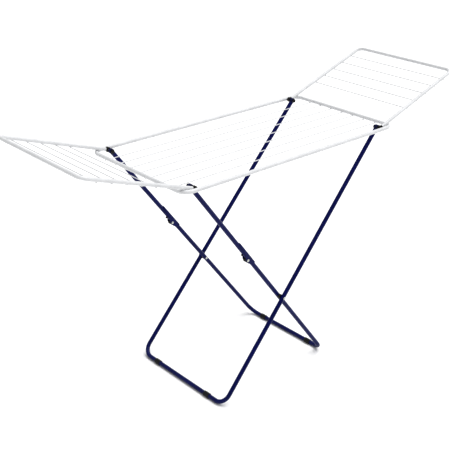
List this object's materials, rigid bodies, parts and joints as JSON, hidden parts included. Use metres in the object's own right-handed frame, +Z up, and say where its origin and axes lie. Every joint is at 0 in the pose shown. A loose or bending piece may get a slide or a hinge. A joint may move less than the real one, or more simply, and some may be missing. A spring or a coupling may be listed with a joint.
{
  "type": "folding clothes drying rack",
  "caption": "Folding clothes drying rack: a wire-strung tube frame on crossed U-shaped legs with elbow joints, and a wire-strung wing tilted up at each end.",
  "frame": {"origin": "on the floor, below the middle of the rack", "axes": "+X along the rack towards its right end, +Y towards its back, +Z up"},
  "size_m": [1.8294, 0.549, 1.0957],
  "materials": {
    "frame_coat": "white powder coat on steel tube, satin",
    "wire_coat": "white coat on steel wire, satin",
    "leg_coat": "dark blue powder coat on steel, satin",
    "moulded_navy": "navy injection moulded plastic, fine matt",
    "moulded_black": "black injection moulded plastic, fine matt",
    "zinc_steel": "bright zinc plated steel"
  },
  "bodies": {
    "rack": {"frame_joint_sleeve": "zinc_steel", "pivot_pin_cap_left_back": "moulded_black", "pivot_pin_cap_left_front": "moulded_black", "pivot_pin_cap_right_back": "moulded_black", "pivot_pin_cap_right_front": "moulded_black", "pivot_pin_left_back": "zinc_steel", "pivot_pin_left_front": "zinc_steel", "pivot_pin_right_back": "zinc_steel", "pivot_pin_right_front": "zinc_steel", "rack_frame": "frame_coat", "rack_wire_1": "wire_coat", "rack_wire_2": "wire_coat", "rack_wire_3": "wire_coat", "rack_wire_4": "wire_coat", "rack_wire_5": "wire_coat", "rack_wire_6": "wire_coat", "rack_wire_7": "wire_coat"},
    "left_wing": {"left_wing_clip_back": "moulded_black", "left_wing_clip_front": "moulded_black", "left_wing_frame": "frame_coat", "left_wing_wire_1": "wire_coat", "left_wing_wire_2": "wire_coat", "left_wing_wire_3": "wire_coat", "left_wing_wire_4": "wire_coat", "left_wing_wire_5": "wire_coat"},
    "right_wing": {"right_wing_clip_back": "moulded_black", "right_wing_clip_front": "moulded_black", "right_wing_frame": "frame_coat", "right_wing_wire_1": "wire_coat", "right_wing_wire_2": "wire_coat", "right_wing_wire_3": "wire_coat", "right_wing_wire_4": "wire_coat", "right_wing_wire_5": "wire_coat"},
    "outer_leg": {"outer_leg": "leg_coat", "outer_leg_cap_back": "moulded_navy", "outer_leg_cap_front": "moulded_navy", "outer_leg_cross_rivet_back": "zinc_steel", "outer_leg_cross_rivet_front": "zinc_steel", "outer_leg_foot_pad_back": "moulded_black", "outer_leg_foot_pad_front": "moulded_black"},
    "upper_links": {"elbow_knuckle_back": "moulded_black", "elbow_knuckle_front": "moulded_black", "upper_link_back": "leg_coat", "upper_link_cap_back": "moulded_navy", "upper_link_cap_front": "moulded_navy", "upper_link_front": "leg_coat"},
    "inner_leg": {"elbow_bracket_back": "leg_coat", "elbow_bracket_front": "leg_coat", "elbow_bracket_rivets_back": "leg_coat", "elbow_bracket_rivets_front": "leg_coat", "elbow_rivet_back": "zinc_steel", "elbow_rivet_front": "zinc_steel", "inner_leg": "leg_coat", "inner_leg_cross_rivet_back": "zinc_steel", "inner_leg_cross_rivet_front": "zinc_steel", "inner_leg_cross_spacer_back": "moulded_black", "inner_leg_cross_spacer_front": "moulded_black", "inner_leg_foot_pad_back": "moulded_black", "inner_leg_foot_pad_front": "moulded_black"}
  },
  "joints": [
    {"name": "outer_leg_fold", "type": "hinge", "parent": "rack", "child": "outer_leg", "pos_m": [0.471, 0, 0.938], "axis": [0, 1, 0], "range_deg": [0, 44.7]},
    {"name": "upper_link_fold", "type": "hinge", "parent": "rack", "child": "upper_links", "pos_m": [-0.471, 0, 0.938], "axis": [0, -1, 0], "range_deg": [0, 52.81]},
    {"name": "elbow_fold", "type": "hinge", "parent": "upper_links", "child": "inner_leg", "pos_m": [-0.2073, 0, 0.57518], "axis": [0, 1, 0], "range_deg": [0, 172.62]},
    {"name": "left_wing_fold", "type": "hinge", "parent": "rack", "child": "left_wing", "pos_m": [-0.471, 0, 0.938], "axis": [0, 1, 0], "range_deg": [0, 160]},
    {"name": "right_wing_fold", "type": "hinge", "parent": "rack", "child": "right_wing", "pos_m": [0.471, 0, 0.938], "axis": [0, -1, 0], "range_deg": [0, 160]}
  ],
  "couplings": [
    {"joint": "upper_link_fold", "follows": "outer_leg_fold", "ratio": 1.1813},
    {"joint": "elbow_fold", "follows": "outer_leg_fold", "ratio": 3.8613}
  ]
}
